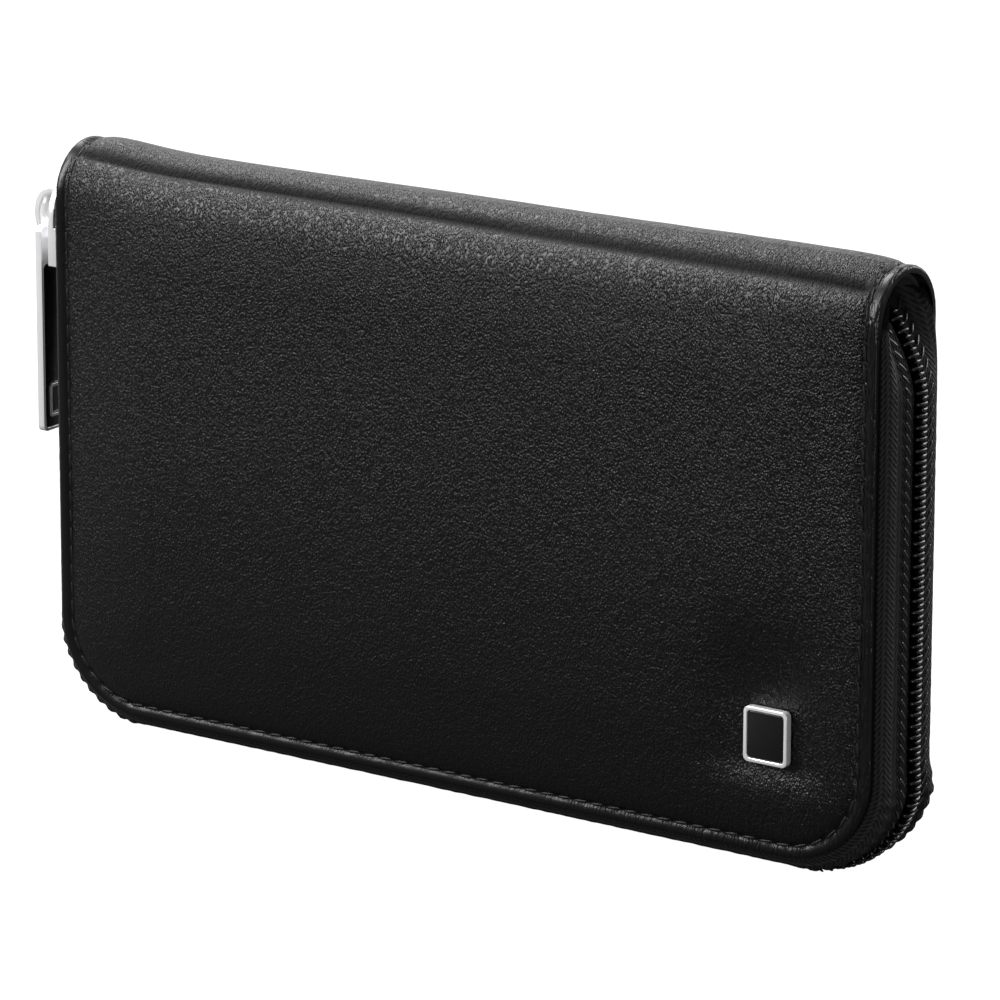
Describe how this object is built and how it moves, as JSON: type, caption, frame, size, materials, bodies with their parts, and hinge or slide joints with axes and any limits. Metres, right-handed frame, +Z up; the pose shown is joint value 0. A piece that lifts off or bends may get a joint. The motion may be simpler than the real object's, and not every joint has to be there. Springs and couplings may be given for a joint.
{
  "type": "manicure set case",
  "caption": "Zip-round padded leather case with a folding spine, zip slider and puller, metal badge, and nail tools held by a pocket and a strap inside.",
  "frame": {"origin": "centre of the box of the closed case, at the level that its zip side stands on", "axes": "+X along the spine towards the badge's end, -Y out of the front panel, +Z up towards the spine fold"},
  "size_m": [0.163, 0.0184, 0.0943],
  "materials": {
    "leather": "black pebbled cowhide, soft sheen",
    "inner_leather": "black smooth leather, matt",
    "padding": "grey foam sheet",
    "board": "grey card",
    "lining": "black faille weave",
    "tape": "black woven zip tape",
    "coil": "black nylon coil",
    "slider": "bright nickel",
    "inlay": "black lacquer",
    "badge": "bright nickel",
    "tool_steel": "satin ground",
    "handle": "black moulded"
  },
  "bodies": {
    "rear_half": {"rear_leather": "leather", "rear_padding": "padding", "rear_board": "board", "rear_lining": "lining", "rear_tape": "tape", "rear_coil": "coil", "rear_pocket": "inner_leather"},
    "spine": {"spine_leather": "leather", "spine_lining": "lining"},
    "front_half": {"front_leather": "leather", "front_padding": "padding", "front_board": "board", "front_lining": "lining", "front_tape": "tape", "front_coil": "coil", "front_strap": "inner_leather", "badge_frame": "badge", "badge_inlay": "inlay"},
    "zip_slider": {"slider_body": "slider", "slider_crown": "slider"},
    "zip_puller": {"puller_frame": "slider", "puller_inlay_outer": "inlay", "puller_inlay_inner": "inlay", "puller_plaque_outer": "badge", "puller_plaque_inner": "badge"},
    "scissors": {"scissors_blade_lower": "tool_steel", "scissors_screw": "tool_steel"},
    "scissors_upper": {"scissors_blade_upper": "tool_steel"},
    "tweezers": {"tweezers_arm_front": "tool_steel", "tweezers_arm_rear": "tool_steel"},
    "nail_file": {"file_blade": "tool_steel", "file_handle": "handle"},
    "pusher": {"cuticle_pusher": "tool_steel"}
  },
  "joints": [
    {"name": "spine_fold_rear", "type": "hinge", "parent": "rear_half", "child": "spine", "pos_m": [0.0032, 0.0092, 0.09065], "axis": [-1, 0, 0], "range_deg": [0, 90]},
    {"name": "spine_fold_front", "type": "hinge", "parent": "spine", "child": "front_half", "pos_m": [0.0032, -0.0078, 0.09065], "axis": [-1, 0, 0], "range_deg": [0, 90]},
    {"name": "zip_slide", "type": "slide", "parent": "rear_half", "child": "zip_slider", "axis": [0, 0, -1], "range_m": [0, 0.053], "deforming": ["rear_coil", "front_coil"]},
    {"name": "puller_swing", "type": "hinge", "parent": "zip_slider", "child": "zip_puller", "pos_m": [-0.0787, 0.0007, 0.07895], "axis": [0, 1, 0], "range_deg": [0, 95]},
    {"name": "scissors_slide", "type": "slide", "parent": "rear_half", "child": "scissors", "axis": [1, 0, 0], "range_m": [0, 0.03]},
    {"name": "scissors_pivot", "type": "hinge", "parent": "scissors", "child": "scissors_upper", "pos_m": [-0.0168, 0.0036, 0.0414], "axis": [0, -1, 0], "range_deg": [0, 28]},
    {"name": "tweezers_slide", "type": "slide", "parent": "front_half", "child": "tweezers", "axis": [1, 0, 0], "range_m": [0, 0.028]},
    {"name": "file_slide", "type": "slide", "parent": "front_half", "child": "nail_file", "axis": [1, 0, 0], "range_m": [0, 0.028]},
    {"name": "pusher_slide", "type": "slide", "parent": "front_half", "child": "pusher", "axis": [1, 0, 0], "range_m": [0, 0.028]}
  ],
  "couplings": [
    {"joint": "spine_fold_front", "follows": "spine_fold_rear", "ratio": 1}
  ]
}
